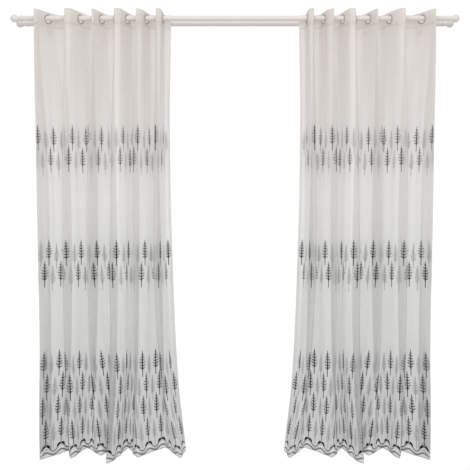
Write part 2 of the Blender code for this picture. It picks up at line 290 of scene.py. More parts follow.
# Shades of the cloth under the hill line and at the hem's edge
HEM_TINT = (0.90, 0.90, 0.90)
BORDER_FADE = 0.001
EDGE_TINT = (0.42, 0.42, 0.42)
EDGE_WIDTH = 0.0050
EDGE_FADE = 0.0015

# Embroidery thread: length of one turn of its twist, its darker and lighter shades as shares of its
# colour, and the brightest that it may become
THREAD_TURN = 0.0007
THREAD_DARKER = 0.8
THREAD_LIGHTER = 1.25
THREAD_BRIGHTEST = 0.95

# Rods, finials, brackets and rings: the darker shade where they are handled, as a share of their colour,
# and how their roughness varies with it
HANDLED_SHADE = 0.93
HANDLED_RANGE = (0.3, 0.7)
HANDLED_ROUGHNESS = (-0.06, 0.08)

# Seams of the heading
SEAM_DROPS = (-0.0295, 0.0415)
SEAM_STITCH = 0.0026
SEAM_PITCH = 0.0036
SEAM_WIDTH = 0.0006
SEAM_RAISE = 0.00025

# Studio shell, which glows but for a small share of plain paint near its middle that fades out between
# two distances
FLOOR_Z = -2.62
STUDIO_RADIUS = 12.0
STUDIO_BEND = 3.0
STUDIO_BEND_STEPS = 12
STUDIO_SEGMENTS = 64
STUDIO_FADE = (1.2, 4.0)
STUDIO_GLOW_SHARE = 0.90
STUDIO_GLOW = 1.03

# Daylight, from straight below to straight above
SKY_STRENGTHS = (0.52, 0.84)


def linked(name, data):
    """A new object for its data, in the scene."""
    made = bpy.data.objects.new(name, data)
    bpy.context.scene.collection.objects.link(made)
    return made


def finished(piece, material):
    """Gives a piece its material and its slot, and lets it ride on the part."""
    piece.data.materials.clear()
    piece.data.materials.append(material)
    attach(piece, "root")
    return piece


def mesh_of(name, points, faces, maps, mirrored=False):
    """A smooth mesh of quads from arrays; maps holds UV coordinates by name, for each face's corners."""
    points = np.array(points, dtype=float)
    faces = np.array(faces)
    if mirrored:
        points = points * (-1.0, 1.0, 1.0)
        faces = faces[:, ::-1]
    mesh = bpy.data.meshes.new(name)
    mesh.from_pydata(points.tolist(), [], faces.tolist())
    for map_name, corners in maps.items():
        corners = corners[:, ::-1] if mirrored else corners
        layer = mesh.uv_layers.new(name=map_name)
        layer.uv.foreach_set("vector", corners.reshape(-1).astype(np.float32))
    mesh.shade_smooth()
    return mesh


def settle(piece):
    """Applies the piece's modifiers to its mesh."""
    graph = bpy.context.evaluated_depsgraph_get()
    made = bpy.data.meshes.new_from_object(
        piece.evaluated_get(graph), preserve_all_data_layers=True, depsgraph=graph
    )
    old = piece.data
    piece.modifiers.clear()
    piece.data = made
    bpy.data.meshes.remove(old)


def through_levels(levels, values, drop):
    """Smooth value of each fold line at `drop` below the rod, plumb at the first level."""
    slopes = np.zeros_like(values)
    slopes[:, 1:-1] = (values[:, 2:] - values[:, :-2]) / (levels[2:] - levels[:-2])
    slopes[:, -1] = (values[:, -1] - values[:, -2]) / (levels[-1] - levels[-2])
    drop = min(max(drop, levels[0]), levels[-1])
    upper = min(int(np.searchsorted(levels, drop, side="right")) - 1, len(levels) - 2)
    span = levels[upper + 1] - levels[upper]
    t = (drop - levels[upper]) / span
    start, end = values[:, upper], values[:, upper + 1]
    bend_out = (t**3 - 2 * t**2 + t) * span * slopes[:, upper]
    bend_in = (t**3 - t**2) * span * slopes[:, upper + 1]
    return (2 * t**3 - 3 * t**2 + 1) * start + bend_out + (3 * t**2 - 2 * t**3) * end + bend_in


def rounded_zigzag(corners, roundness, u):
    """Points of the zigzag with rounded corners, where u counts the fold lines from 0."""
    last = len(corners) - 1
    nearest = np.rint(u).astype(int)
    offset = u - nearest
    before = corners[np.maximum(nearest - 1, 0)]
    corner = corners[nearest]
    after = corners[np.minimum(nearest + 1, last)]
    towards = np.where(offset[:, None] > 0, after, before)
    straight = corner + (towards - corner) * np.abs(offset)[:, None]
    curve_start = corner + (before - corner) * roundness / 2
    curve_end = corner + (after - corner) * roundness / 2
    t = (offset / roundness + 0.5)[:, None]
    curve = (1 - t) ** 2 * curve_start + 2 * t * (1 - t) * corner + t**2 * curve_end
    on_curve = (np.abs(offset) < roundness / 2) & (nearest > 0) & (nearest < last)
    return np.where(on_curve[:, None], curve, straight)


def corners_for(fold_points, roundness):
    """Corners whose rounded zigzag passes through the fold points of the table."""
    count = len(fold_points)
    matrix = np.eye(count)
    for row in range(1, count - 1):
        matrix[row, row - 1 : row + 2] = (roundness / 8, 1 - roundness / 4, roundness / 8)
    return np.linalg.solve(matrix, fold_points)


class Cloth:
    """The left cloth as a fine grid that knows where each place of the flat cut hangs."""

    def __init__(self):
        columns = dict(zip(FOLD_COLUMNS, zip(*FOLDS.values())))
        self.x = np.column_stack([columns[name] for name in X_COLUMNS])
        self.y = np.column_stack([columns[name] for name in Y_COLUMNS])
        self.dip = np.array(columns["dip"])
        self.last = len(FOLDS) - 1
        self.s = np.linspace(0.0, CUT_WIDTH, CLOTH_COLUMNS + 1)
        heading = np.linspace(HEADING_TOP_DROP, HEADING_BOTTOM_DROP - PANEL_OVERLAP, HEADING_ROWS)
        panel = np.linspace(HEADING_BOTTOM_DROP, HEM_DROP, PANEL_ROWS)
        self.drops = np.concatenate((heading, panel))
        folds = np.array([self.section(drop) for drop in self.drops])
        across = np.gradient(folds, axis=1)
        sideways = np.stack((across[..., 1], -across[..., 0]), axis=-1)
        sideways /= np.linalg.norm(sideways, axis=-1, keepdims=True)
        folds[..., :2] += sideways * self.ripples()[..., None]
        self.points = folds
        normals = np.cross(np.gradient(folds, axis=0), np.gradient(folds, axis=1))
        self.normals = normals / np.linalg.norm(normals, axis=-1, keepdims=True)

    def corners(self, drop):
        """Corner points of the section, with the fold depth that uses up the cut width."""
        roundness = float(np.interp(drop, ROUNDNESS_LEVELS, ROUNDNESS))
        x = through_levels(LEVELS, self.x, drop)
        y = through_levels(DEPTH_LEVELS, self.y, drop)
        fine = np.linspace(0, self.last, self.last * LENGTH_STEPS + 1)
        shallow, deep = DEPTH_FACTORS
        for _ in range(DEPTH_SEARCH_STEPS):
            scale = (shallow + deep) / 2
            corners = corners_for(np.column_stack((x, y * scale)), roundness)
            steps = np.diff(rounded_zigzag(corners, roundness, fine), axis=0)
            if np.hypot(steps[:, 0], steps[:, 1]).sum() < CUT_WIDTH:
                shallow = scale
            else:
                deep = scale
        return corners, roundness

    def section(self, drop):
        """Points of one row of the grid, evenly spaced along the cloth."""
        corners, roundness = self.corners(drop)
        fine = np.linspace(0, self.last, self.last * FINE_STEPS + 1)
        steps = np.diff(rounded_zigzag(corners, roundness, fine), axis=0)
        length = np.concatenate(((0.0,), np.cumsum(np.hypot(steps[:, 0], steps[:, 1]))))
        u = np.interp(self.s * length[-1] / CUT_WIDTH, length, fine)
        flat = rounded_zigzag(corners, roundness, u)
        hang = np.interp(u, np.arange(self.last + 1), self.dip)
        low = max(0.0, (drop - LEVELS[-2]) / (LEVELS[-1] - LEVELS[-2])) ** 2
        return np.column_stack((flat[:, 0], FRONT_ROD_Y + flat[:, 1], -drop - hang * low))

    def ripples(self):
        """Height of the small ripples at each point of the grid."""
        chance = np.random.default_rng(RIPPLE_SEED)
        s, drop = self.s[None, :], self.drops[:, None]
        strength = np.clip((drop - RIPPLE_START) / (RIPPLE_FULL - RIPPLE_START), 0.0, 1.0)
        height = np.zeros((len(self.drops), len(self.s)))
        for wavelength, size, turns in RIPPLES:
            start, sway, swell = chance.uniform(0.0, 2 * math.pi, 3)
            drift = turns * np.sin(SWAY_RATE * drop + sway)
            wave = np.sin(2 * math.pi * s / wavelength + start + drift)
            swells = np.sin(SWELL_RATE_ACROSS * s + SWELL_RATE_DOWN * drop + swell)
            height += size * wave * (1 - SWELL + SWELL * swells)
        return height * strength**RIPPLE_EASE

    def place(self, s, drop, lift):
        """Points at places of the flat cut, lifted off the cloth's middle towards the room."""
        column = np.clip(s / CUT_WIDTH, 0.0, 1.0) * CLOTH_COLUMNS
        row = np.interp(drop, self.drops, np.arange(len(self.drops)))
        left = np.minimum(column.astype(int), CLOTH_COLUMNS - 1)
        top = np.minimum(row.astype(int), len(self.drops) - 2)
        right_share = (column - left)[:, None]
        low_share = (row - top)[:, None]
        found = []
        for grid in (self.points, self.normals):
            upper = grid[top, left] * (1 - right_share) + grid[top, left + 1] * right_share
            lower = grid[top + 1, left] * (1 - right_share) + grid[top + 1, left + 1] * right_share
            found.append(upper * (1 - low_share) + lower * low_share)
        return found[0] + found[1] * lift[:, None]

    def crossings(self):
        """Where each flank of the heading crosses the front rod: its x and its direction."""
        corners, _ = self.corners(HEADING_BOTTOM_DROP)
        found = []
        for start, end in zip(corners, corners[1:]):
            if start[1] * end[1] < 0:
                share = start[1] / (start[1] - end[1])
                x = start[0] + (end[0] - start[0]) * share
                found.append((x, math.atan2(end[1] - start[1], end[0] - start[0])))
        return found


def sheet_mesh(name, cloth, rows, mirrored):
    """The cloth's grid between two rows as an open mesh, with its flat places as UV maps."""
    points = cloth.points[rows]
    height, width = points.shape[:2]
    index = np.arange(height * width).reshape(height, width)
    faces = np.stack((index[:-1, :-1], index[1:, :-1], index[1:, 1:], index[:-1, 1:]), axis=-1)
    faces = faces.reshape(-1, 4)
    s, drop = np.meshgrid(cloth.s, cloth.drops[rows])
    flat = np.column_stack((s.ravel(), drop.ravel()))
    unit = (flat - flat.min(axis=0)) / (flat.max(axis=0) - flat.min(axis=0))
    maps = {"cloth": flat[faces], "OFBake": unit[faces]}
    return mesh_of(name, points.reshape(-1, 3), faces, maps, mirrored)


def ring_places(cloth, side):
    """Centre and turn about Z of each eyelet, numbered from the panel's outer edge."""
    places = []
    for x, turn in cloth.crossings():
        centre = Vector((-side * x, FRONT_ROD_Y, -RING_DROP))
        places.append(Matrix.Translation(centre) @ Matrix.Rotation(-side * turn, 4, "Z"))
    return places


def make_heading(side_name, side, cloth, places, material):
    """The doubled and stiffened top of the cloth, with its eyelet holes."""
    name = f"heading_band_{side_name}"
    heading = linked(name, sheet_mesh(name, cloth, np.arange(HEADING_ROWS + 1), side > 0))
    body = heading.modifiers.new("Thickness", "SOLIDIFY")
    body.thickness = HEADING_THICKNESS
    body.offset = 0.0
    body.use_even_offset = True
    bm = bmesh.new()
    for place in places:
        bmesh.ops.create_cone(
            bm,
            cap_ends=True,
            segments=RING_SEGMENTS,
            radius1=RING_HOLE_RADIUS,
            radius2=RING_HOLE_RADIUS,
            depth=RING_HOLE_DEPTH,
            matrix=place @ Matrix.Rotation(math.pi / 2, 4, "X"),
        )
    mesh = bpy.data.meshes.new("holes")
    bm.to_mesh(mesh)
    bm.free()
    holes = linked("holes", mesh)
    cut = heading.modifiers.new("Eyelet holes", "BOOLEAN")
    cut.operation = "DIFFERENCE"
    cut.solver = "EXACT"
    cut.object = holes
    settle(heading)
    bpy.data.objects.remove(holes)
    heading.data.set_sharp_from_angle(angle=HEADING_CREASE)
    finished(heading, material)
    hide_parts(f"heading_{side_name}")
    return heading


def make_panel(side_name, side, cloth, material):
    """The sheer cloth below the heading."""
    rows = np.arange(HEADING_ROWS - 1, len(cloth.drops))
    name = f"voile_{side_name}"
    panel = linked(name, sheet_mesh(name, cloth, rows, side > 0))
    finished(panel, material)
    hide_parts(f"panel_{side_name}")
    return panel


def turned_mesh(name, profile, segments, closed):
    """A mesh turned about Z from an outline of (radius, height) points."""
    bm = bmesh.new()
    verts = [bm.verts.new((radius, 0.0, height)) for radius, height in profile]
    edges = [bm.edges.new(pair) for pair in zip(verts, verts[1:])]
    if closed:
        edges.append(bm.edges.new((verts[-1], verts[0])))
    bmesh.ops.spin(
        bm,
        geom=verts + edges,
        axis=(0.0, 0.0, 1.0),
        cent=(0.0, 0.0, 0.0),
        angle=2 * math.pi,
        steps=segments,
        use_merge=True,
    )
    bmesh.ops.remove_doubles(bm, verts=bm.verts, dist=WELD_DISTANCE)
    bmesh.ops.recalc_face_normals(bm, faces=bm.faces)
    mesh = bpy.data.meshes.new(name)
    bm.to_mesh(mesh)
    bm.free()
    mesh.shade_smooth()
    mesh.set_sharp_from_angle(angle=TURNED_CREASE)
    return mesh


def make_rings(side_name, places, material):
    """The press-on eyelet rings, one for each place."""
    below = [(radius, -height) for radius, height in reversed(RING_HALF_PROFILE)]
    profile = (*RING_HALF_PROFILE, *below)
    rings = []
    for number, place in enumerate(places, start=1):
        name = f"ring_{side_name}_{number:02d}"
        ring = linked(name, turned_mesh(name, profile, RING_SEGMENTS, closed=True))
        ring.matrix_world = place @ Matrix.Rotation(math.pi / 2, 4, "X")
        finished(ring, material)
        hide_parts(f"eyelet_{side_name}_{number:02d}")
        rings.append(ring)
    return rings


def smooth_outline(points, steps):
    """Points of a smooth curve through the outline's own points."""
    points = np.array(points)
    padded = np.vstack((2 * points[0] - points[1], points, 2 * points[-1] - points[-2]))
    made = []
    for before, start, end, after in zip(padded, padded[1:], padded[2:], padded[3:]):
        for step in range(steps):
            t = step / steps
            bend = (2 * before - 5 * start + 4 * end - after) * t**2
            twist = (3 * start - before - 3 * end + after) * t**3
            made.append((2 * start + (end - before) * t + bend + twist) / 2)
    made.append(points[-1])
    return made


def make_finial(rod, side_name, side, material):
    """A ball finial on a short collar, its axis along the rod."""
    outline = [*FINIAL_COLLAR, *smooth_outline(FINIAL_KNOB, KNOB_STEPS)]
    profile = [(0.0, 0.0)] + [(max(radius, 0.0), distance) for distance, radius in outline]
    low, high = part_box(f"finial_{rod}_{side_name}")
    name = f"knob_{rod}_{side_name}"
    finial = linked(name, turned_mesh(name, profile, FINIAL_SEGMENTS, closed=False))
    start_x = high[0] if side < 0 else low[0]
    centre = Vector((start_x, (low[1] + high[1]) / 2, (low[2] + high[2]) / 2))
    finial.matrix_world = Matrix.Translation(centre) @ Matrix.Rotation(side * math.pi / 2, 4, "Y")
    finished(finial, material)
    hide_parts(f"finial_{rod}_{side_name}")


def make_plate_screws(side_name, material):
    """Two screw heads on a wall plate, one above its arm and one below."""
    low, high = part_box(f"wall_plate_{side_name}")
    middle = (Vector(low) + Vector(high)) / 2
    for number, offset in enumerate(SCREW_OFFSETS, start=1):
        name = f"plate_screw_{side_name}_{number}"
        screw = linked(name, turned_mesh(name, SCREW_PROFILE, SCREW_SEGMENTS, closed=False))
        centre = Vector((middle.x, low[1], middle.z + offset))
        screw.matrix_world = Matrix.Translation(centre) @ Matrix.Rotation(math.pi / 2, 4, "X")
        finished(screw, material)


def strip(points, widths, lift):
    """A strip along flat points (s, height), raised on both sides of the cloth.

    Each of its sections has four points: one edge, the front, the other edge and the back. Gives the
    strip's places, lifts and faces, and for each face corner its distance along the strip.
    """
    points = np.array(points, dtype=float)
    widths = np.array(widths, dtype=float)
    along = np.gradient(points, axis=0)
    along /= np.linalg.norm(along, axis=1, keepdims=True)
    out = np.column_stack((-along[:, 1], along[:, 0])) * widths[:, None] / 2
    places = np.stack((points + out, points, points - out, points), axis=1).reshape(-1, 2)
    lifts = np.tile((0.0, lift, 0.0, -lift), len(points))
    steps = np.linalg.norm(np.diff(points, axis=0), axis=1)
    length = np.concatenate(((0.0,), np.cumsum(steps)))
    ring = np.arange(4)
    beside = (ring + 1) % 4
    around = np.stack((ring, beside, beside + 4, ring + 4), axis=1)
    faces = (around[None] + 4 * np.arange(len(points) - 1)[:, None, None]).reshape(-1, 4)
    end = 4 * (len(points) - 1)
    faces = np.vstack((faces, (3, 2, 1, 0), (end, end + 1, end + 2, end + 3)))
    return places, lifts, faces, length[faces // 4]


class Stitches:
    """Strips gathered into one embroidered piece."""

    def __init__(self):
        self.parts = []
        self.count = 0

    def add(self, made, s=0.0, foot_drop=0.0):
        """Adds a strip whose own origin stands at a place of the cloth."""
        places, lifts, faces, length = made
        self.parts.append((s + places[:, 0], foot_drop - places[:, 1], lifts, faces + self.count, length))
        self.count += len(places)

    def piece(self, name, cloth, side, material):
        """Lays all strips on the cloth as one piece."""
        s, drop, lifts, faces, length = (np.concatenate(rows) for rows in zip(*self.parts))
        behind = lifts[faces].sum(axis=1) < 0
        tall = (drop - drop.min()) / (drop.max() - drop.min())
        bake = np.stack((s[faces] / CUT_WIDTH, (tall[faces] + behind[:, None]) / 2), axis=-1)
        stitch = np.stack((length, np.zeros_like(length)), axis=-1)
        points = cloth.place(s, drop, lifts)
        mesh = mesh_of(name, points, faces, {"stitch": stitch, "OFBake": bake}, side > 0)
        return finished(linked(name, mesh), material)


def crown_reach(share):
    """Half width of a tree's crown at a share of its height: fullest low down, pointed at the top."""
    if share < CROWN_WIDEST:
        swelling = math.sin(share / CROWN_WIDEST * math.pi / 2)
        return CROWN_HALF_WIDTH * (CROWN_FOOT + (1 - CROWN_FOOT) * swelling)
    taper = ((share - CROWN_WIDEST) / (CROWN_TIP - CROWN_WIDEST)) ** CROWN_TAPER
    return CROWN_HALF_WIDTH * (1 - taper)


def tree_strips(weight, pairs, spread, chance):
    """The strips of one tree, its foot at the origin: thread weight, pairs of branches, and spread.

    Each branch's length and height differ a little, by chance.
    """
    points = [(0.0, height) for height, _ in TRUNK]
    trunk_widths = np.array([width for _, width in TRUNK]) * weight * spread
    strips = [strip(points, trunk_widths, STITCH_RAISE)]
    branch_widths = np.array(BRANCH_WIDTHS) * weight
    for pair in range(pairs):
        share = LOWEST_BRANCH + BRANCH_RANGE * pair / pairs
        for way in (-1, 1):
            reach = crown_reach(share + BRANCH_TIP_SHARE) * spread * chance.uniform(*BRANCH_CHANGES)
            start = CROWN_BASE + CROWN_HEIGHT * share + chance.uniform(-BRANCH_SHIFT, BRANCH_SHIFT)
            rise = BRANCH_RISE + BRANCH_SLOPE * reach
            points = []
            for t in BRANCH_SHARES:
                height = start + rise * t * (1 - BRANCH_BEND + BRANCH_BEND * t)
                points.append((way * reach * t, height))
            strips.append(strip(points, branch_widths, STITCH_RAISE * BRANCH_RAISE))
    return strips


def crown_strips(weight):
    """Loose stitches that fill the crown of a tree, as narrow strips that bend with the cloth."""
    shares = np.linspace(0.0, 1.0, CROWN_POINTS)
    heights = CROWN_BASE + CROWN_HEIGHT * shares
    widths = np.array([2 * CROWN_FILL * crown_reach(share) for share in shares]) * weight / CROWN_STRIPS
    made = []
    for middle in np.arange(CROWN_STRIPS) - (CROWN_STRIPS - 1) / 2:
        points = np.column_stack((middle * widths, heights))
        made.append(strip(points, widths, STITCH_RAISE * CROWN_RAISE))
    return made


def make_trees(side_name, side, cloth, dark, pale, loose):
    """Three embroidered bands of small trees, dark and pale by turns."""
    chance = np.random.default_rng(TREE_SEED)
    made = []
    for band, rows in BANDS.items():
        weight = BAND_WEIGHTS[band]
        dark_trees = [tree_strips(weight, DARK_PAIRS, 1.0, chance) for _ in range(TREE_VARIANTS)]
        pale_trees = [tree_strips(weight, PALE_PAIRS, PALE_SPREAD, chance) for _ in range(TREE_VARIANTS)]
        kinds = (
            ("dark_trees", dark, 0.0, 0.0, dark_trees),
            ("pale_trees", pale, PALE_SHIFT, PALE_DROP, pale_trees),
            ("crowns", loose, 0.0, 0.0, [crown_strips(weight)]),
        )
        for name, material, shift, lower, variants in kinds:
            stitches = Stitches()
            for foot_drop, phase in rows:
                first = (phase + shift) % 1.0 * TREE_PITCH
                for number, s in enumerate(np.arange(first, CUT_WIDTH, TREE_PITCH)):
                    if CROWN_HALF_WIDTH < s < CUT_WIDTH - CROWN_HALF_WIDTH:
                        for one in variants[number % len(variants)]:
                            stitches.add(one, s, foot_drop + lower)
            made.append(stitches.piece(f"{name}_{band}_{side_name}", cloth, side, material))
    return made


def hills(s, top_drop, height):
    """Drop of a line of hills whose tops are under the dark trees of the last row."""
    return top_drop + height * (1 - np.cos(2 * math.pi * (s / TREE_PITCH - HILL_PHASE))) / 2


def border_strip(drop_of, start, end, widths):
    """A strip along the border from one place of the cut to another, through evenly spaced widths."""
    s = np.linspace(start, end, len(widths))
    return strip(np.column_stack((s, -drop_of(s))), widths, STITCH_RAISE)


def border_line(drop_of, width):
    """A strip of one width along the whole border."""
    start, end = BORDER_MARGIN, CUT_WIDTH - BORDER_MARGIN
    count = int((end - start) / TREE_PITCH * BORDER_STEPS)
    return border_strip(drop_of, start, end, np.full(count, width))


def make_border(side_name, side, cloth, black, white, grey):
    """The embroidered border over the hem."""

    def hill_line(s):
        return hills(s, HILL_TOP_DROP, HILL_HEIGHT)

    def grey_line(s):
        return hills(s, GREY_TOP_DROP, GREY_HEIGHT)

    def tuft_line(s):
        return hill_line(s) - TUFT_RISE

    def satin_line(s):
        return hill_line(s) + (HILL_LINE_WIDTH + SATIN_WIDTH) / 2

    tufts = []
    for foot in np.arange(HILL_PHASE * TREE_PITCH, CUT_WIDTH, TREE_PITCH):
        for left, right in TUFT_SPANS:
            if BORDER_MARGIN < foot + left and foot + right < CUT_WIDTH - BORDER_MARGIN:
                tufts.append(border_strip(tuft_line, foot + left, foot + right, TUFT_WIDTHS))
    kinds = (
        ("hill_line", black, [border_line(hill_line, HILL_LINE_WIDTH)]),
        ("tufts", black, tufts),
        ("satin_band", white, [border_line(satin_line, SATIN_WIDTH)]),
        ("grey_line", grey, [border_line(grey_line, GREY_LINE_WIDTH)]),
    )
    made = []
    for name, material, strips in kinds:
        stitches = Stitches()
        for one in strips:
            stitches.add(one)
        made.append(stitches.piece(f"{name}_{side_name}", cloth, side, material))
    return made


def make_seams(side_name, side, cloth, material):
    """Machine stitches along the top and the foot of the heading."""
    seams = Stitches()
    lift = HEADING_THICKNESS / 2 + SEAM_RAISE
    stitch = strip(((0.0, 0.0), (SEAM_STITCH, 0.0)), (SEAM_WIDTH, SEAM_WIDTH), lift)
    for drop in SEAM_DROPS:
        for s in np.arange(BORDER_MARGIN, CUT_WIDTH - BORDER_MARGIN, SEAM_PITCH):
            seams.add(stitch, s, drop)
    piece = seams.piece(f"heading_seams_{side_name}", cloth, side, material)
    return piece


def add_node(tree, kind, inputs=None, **settings):
    """Adds a node; inputs holds values or the sockets that they are joined to."""
    node = tree.nodes.new(kind)
    for name, value in settings.items():
        setattr(node, name, value)
    for name, value in (inputs or {}).items():
        if isinstance(value, bpy.types.NodeSocket):
            tree.links.new(value, node.inputs[name])
        else:
            node.inputs[name].default_value = value
    return node


def new_material(name):
    """An empty node material: its tree and its output node."""
    made = bpy.data.materials.new(name)
    made.use_nodes = True
    made.node_tree.nodes.clear()
    output = made.node_tree.nodes.new("ShaderNodeOutputMaterial")
    return made, made.node_tree, output


def calc(tree, operation, first, second=0.0):
    """The result of a sum on two values or sockets."""
    return add_node(tree, "ShaderNodeMath", {0: first, 1: second}, operation=operation).outputs[0]


def spread_over(tree, value, start, end, low, high):
    """A value mapped from one range to another, and held at its ends."""
    ranges = {"Value": value, "From Min": start, "From Max": end, "To Min": low, "To Max": high}
    return add_node(tree, "ShaderNodeMapRange", ranges).outputs[0]


def blend_colours(tree, share, first, second):
    """A colour between two, which may be colours or sockets."""
    first = first if isinstance(first, bpy.types.NodeSocket) else (*first, 1.0)
    second = second if isinstance(second, bpy.types.NodeSocket) else (*second, 1.0)
    inputs = {0: share, 6: first, 7: second}
    return add_node(tree, "ShaderNodeMix", inputs, data_type="RGBA").outputs[2]


def bumped(tree, height, strength, distance):
    """The normal of a surface with fine relief."""
    inputs = {"Height": height, "Strength": strength, "Distance": distance}
    return add_node(tree, "ShaderNodeBump", inputs).outputs[0]


def seen_through(tree, cover, surface):
    """A surface that hides only a share of what is behind it."""
    clear = add_node(tree, "ShaderNodeBsdfTransparent").outputs[0]
    return add_node(tree, "ShaderNodeMixShader", {0: cover, 1: clear, 2: surface}).outputs[0]


def noise(tree, place, detail, scale=1.0, stretch=(1.0, 1.0, 1.0)):
    """Noise at a place, stretched along the axes."""
    stretched = add_node(tree, "ShaderNodeMapping", {"Vector": place, "Scale": stretch}).outputs[0]
    inputs = {"Vector": stretched, "Scale": scale, "Detail": detail}
    return add_node(tree, "ShaderNodeTexNoise", inputs).outputs["Fac"]


def cloth_threads(tree, flat, s, drop):
    """Height of the threads, in streaks along warp and weft, and the normal with the weave's bump."""
    warp = noise(tree, flat, detail=3.0, stretch=WARP_STRETCH)
    weft = noise(tree, flat, detail=3.0, stretch=WEFT_STRETCH)
    threads = calc(tree, "ADD", warp, calc(tree, "MULTIPLY", weft, WEFT_SHARE))
    across = calc(tree, "SINE", calc(tree, "MULTIPLY", s, 2 * math.pi / WEAVE_PITCH))
    down = calc(tree, "SINE", calc(tree, "MULTIPLY", drop, 2 * math.pi / WEAVE_PITCH))
    weave = calc(tree, "MULTIPLY", calc(tree, "MULTIPLY", across, down), WEAVE_SHARE)
    height = calc(tree, "ADD", weave, threads)
    return threads, bumped(tree, height, strength=0.2, distance=0.0004)


def cloth_tint_and_shade(tree, s, drop, stripes, tints_and_shade):
    """Colour of the cloth, which changes with the drop, partly as painted shade lower down, and under the
    hill line and at the hem's edge.
    """
    # Soft stripes blend the lighter and darker tint of each pair: partly uneven weave, partly painted
    # shade of small folds
    stripes_and_fold_shade = spread_over(tree, stripes, *STRIPE_RANGE, 0.0, 1.0)
    tint = blend_colours(tree, stripes_and_fold_shade, *tints_and_shade[0][1])
    for (above, _), (below, pair) in zip(tints_and_shade, tints_and_shade[1:]):
        share = spread_over(tree, drop, above, below, 0.0, 1.0)
        tint = blend_colours(tree, share, tint, blend_colours(tree, stripes_and_fold_shade, *pair))
    from_top = calc(tree, "SUBTRACT", s, HILL_PHASE * TREE_PITCH)
    turns = calc(tree, "MULTIPLY", from_top, 2 * math.pi / TREE_PITCH)
    hill = calc(tree, "MULTIPLY", calc(tree, "COSINE", turns), -HILL_HEIGHT / 2)
    hill_line = calc(tree, "ADD", hill, HILL_TOP_DROP + HILL_HEIGHT / 2)
    below_hills = calc(tree, "SUBTRACT", drop, hill_line)
    border = spread_over(tree, below_hills, 0.0, BORDER_FADE, 0.0, 1.0)
    tint = blend_colours(tree, border, tint, HEM_TINT)
    edge = spread_over(tree, drop, HEM_DROP - EDGE_WIDTH, HEM_DROP - EDGE_WIDTH + EDGE_FADE, 0.0, 1.0)
    return blend_colours(tree, edge, tint, EDGE_TINT)


def cloth_cover(tree, s, drop, stripes, threads, opacity, unevenness):
    """The share of the view that the cloth hides: uneven, and more in its hems and towards its top."""
    from_middle = calc(tree, "ABSOLUTE", calc(tree, "SUBTRACT", s, CUT_WIDTH / 2))
    side_start = CUT_WIDTH / 2 - SIDE_HEM_WIDTH
    low_start = HEM_DROP - LOW_HEM_WIDTH
    side_hem = spread_over(tree, from_middle, side_start, side_start + HEM_FADE, 0.0, HEM_COVER)
    low_hem = spread_over(tree, drop, low_start, low_start + HEM_FADE, 0.0, HEM_COVER)
    top_hem = spread_over(tree, drop, TOP_HEM_DROP, TOP_HEM_DROP + TOP_HEM_FADE, TOP_HEM_COVER, 0.0)
    upper = spread_over(tree, drop, *UPPER_DROPS, UPPER_COVER, 0.0)
    hems = calc(tree, "MAXIMUM", calc(tree, "MAXIMUM", side_hem, low_hem), top_hem)
    uneven = calc(tree, "ADD", calc(tree, "MULTIPLY", stripes, STRIPE_SHARE), threads)
    uneven = calc(tree, "MULTIPLY", calc(tree, "SUBTRACT", uneven, UNEVEN_MEAN), unevenness)
    cover = calc(tree, "ADD", calc(tree, "ADD", uneven, calc(tree, "ADD", hems, upper)), opacity)
    return add_node(tree, "ShaderNodeClamp", {0: cover, 1: 0.0, 2: MOST_COVER}).outputs[0]


def cloth_material(name, tints_and_shade, opacity, unevenness, translucency):
    """Sheer woven cloth whose colour changes with the drop; where it darkens lower down, that is painted
    shade.
    """
    made, tree, output = new_material(name)
    flat = add_node(tree, "ShaderNodeUVMap", uv_map="cloth").outputs[0]
    split = add_node(tree, "ShaderNodeSeparateXYZ", {0: flat})
    s, drop = split.outputs[0], split.outputs[1]
    stripes = noise(tree, flat, detail=2.0, stretch=STRIPE_STRETCH)
    threads, normal = cloth_threads(tree, flat, s, drop)
    tint = cloth_tint_and_shade(tree, s, drop, stripes, tints_and_shade)
    cover = cloth_cover(tree, s, drop, stripes, threads, opacity, unevenness)
    surface = add_node(
        tree,
        "ShaderNodeBsdfPrincipled",
        {
            "Base Color": tint,
            "Roughness": 0.85,
            "Sheen Weight": 0.15,
            "Sheen Roughness": 0.4,
            "Specular IOR Level": 0.2,
            "Normal": normal,
        },
    ).outputs[0]
    through = add_node(tree, "ShaderNodeBsdfTranslucent", {"Color": tint, "Normal": normal}).outputs[0]
    body = add_node(tree, "ShaderNodeMixShader", {0: translucency, 1: surface, 2: through}).outputs[0]
    tree.links.new(seen_through(tree, cover, body), output.inputs[0])
    return made


def thread_material(name, colour, sheen, cover=None):
    """Embroidery thread: fine turns across each stitch and slight changes of shade.

    Loose stitches have a cover, the share of the cloth that they hide.
    """
    made, tree, output = new_material(name)
    along = add_node(tree, "ShaderNodeUVMap", uv_map="stitch").outputs[0]
    length = add_node(tree, "ShaderNodeSeparateXYZ", {0: along}).outputs[0]
    ridges = calc(tree, "SINE", calc(tree, "MULTIPLY", length, 2 * math.pi / THREAD_TURN))
    where = add_node(tree, "ShaderNodeTexCoord").outputs["Object"]
    patches = noise(tree, where, detail=2.0, scale=90.0)
    darker = tuple(part * THREAD_DARKER for part in colour)
    lighter = tuple(min(THREAD_BRIGHTEST, part * THREAD_LIGHTER) for part in colour)
    surface = add_node(
        tree,
        "ShaderNodeBsdfPrincipled",
        {
            "Base Color": blend_colours(tree, patches, darker, lighter),
            "Roughness": 0.62,
            "Sheen Weight": sheen,
            "Specular IOR Level": 0.25,
            "Normal": bumped(tree, ridges, strength=0.35, distance=0.0002),
        },
    ).outputs[0]
    if cover:
        surface = seen_through(tree, cover, surface)
    tree.links.new(surface, output.inputs[0])
    return made


